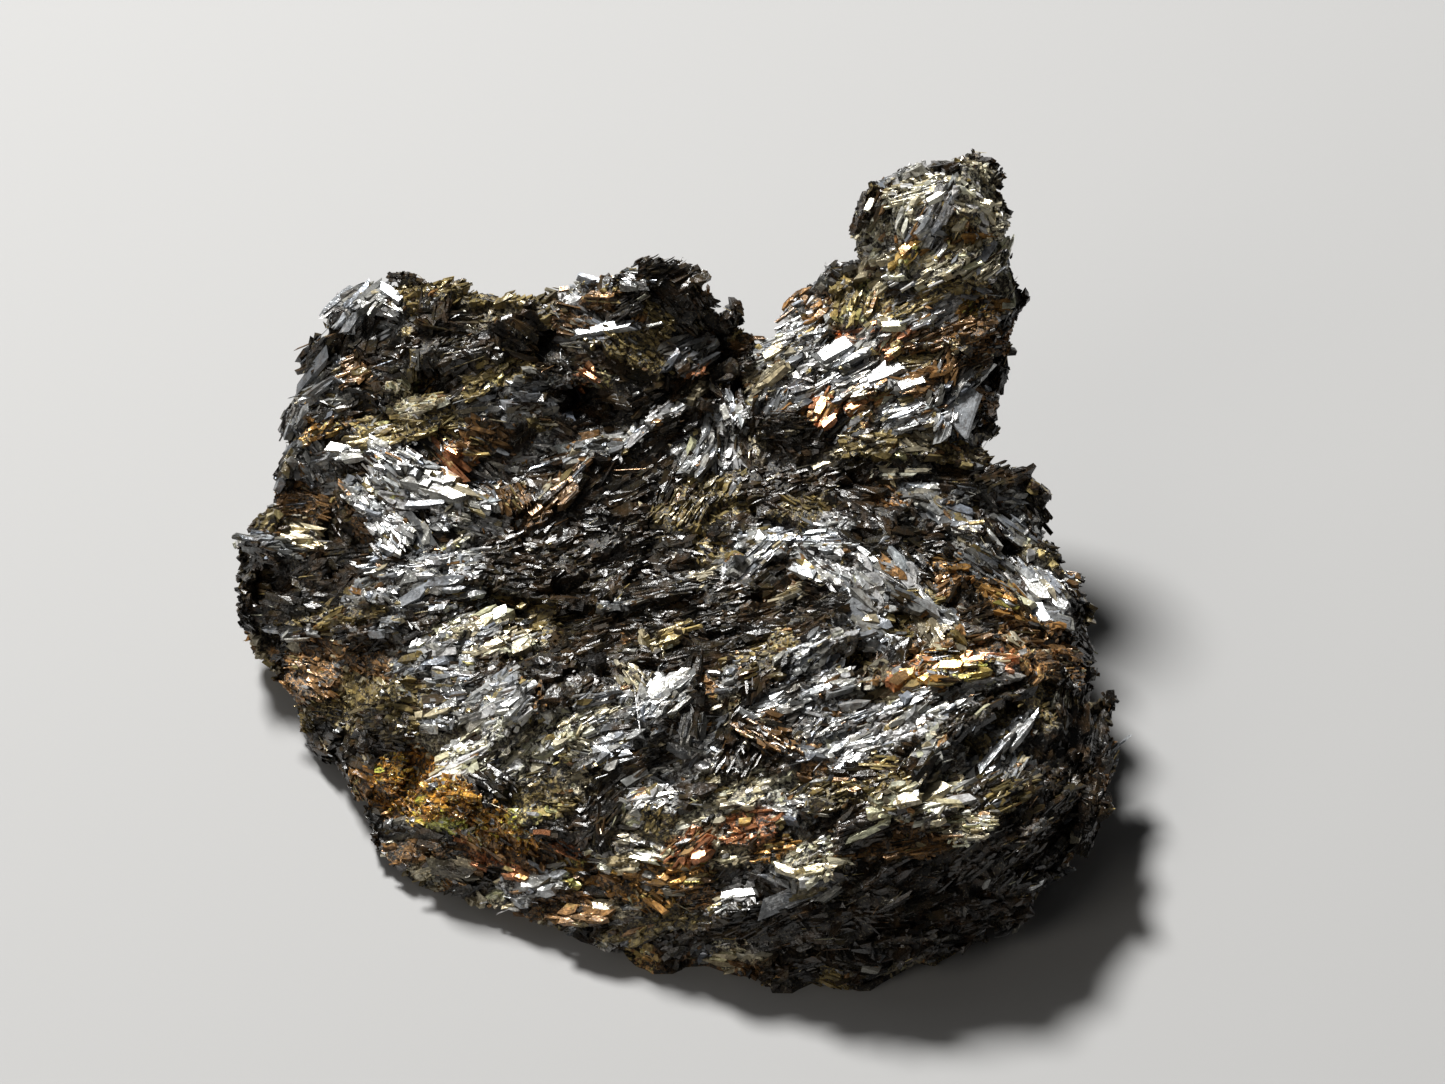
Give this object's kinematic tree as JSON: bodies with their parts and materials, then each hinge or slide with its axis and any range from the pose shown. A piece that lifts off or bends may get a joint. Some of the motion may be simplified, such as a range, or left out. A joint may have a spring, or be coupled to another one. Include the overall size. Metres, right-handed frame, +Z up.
{
  "type": "rough nuummite",
  "caption": "Rough broken lump of dark bladed amphibole stone, wedge-shaped with a knobbed horn, lying on a flat break.",
  "frame": {"origin": "middle of the bounding box's underside, on the plane of the flat break that the stone lies on", "axes": "+Z up, away from the flat break; +X to the right along the stone's length, with the horn at +X +Y; +Y towards the high ridge at the back, so the hollow and the broad roll face -Y"},
  "size_m": [0.0526, 0.045, 0.0272],
  "materials": {
    "amphibole_rock": "glossy bladed crystal with silver, bronze and rust glints"
  },
  "bodies": {
    "root": {"nuummite": "amphibole_rock"}
  },
  "joints": []
}
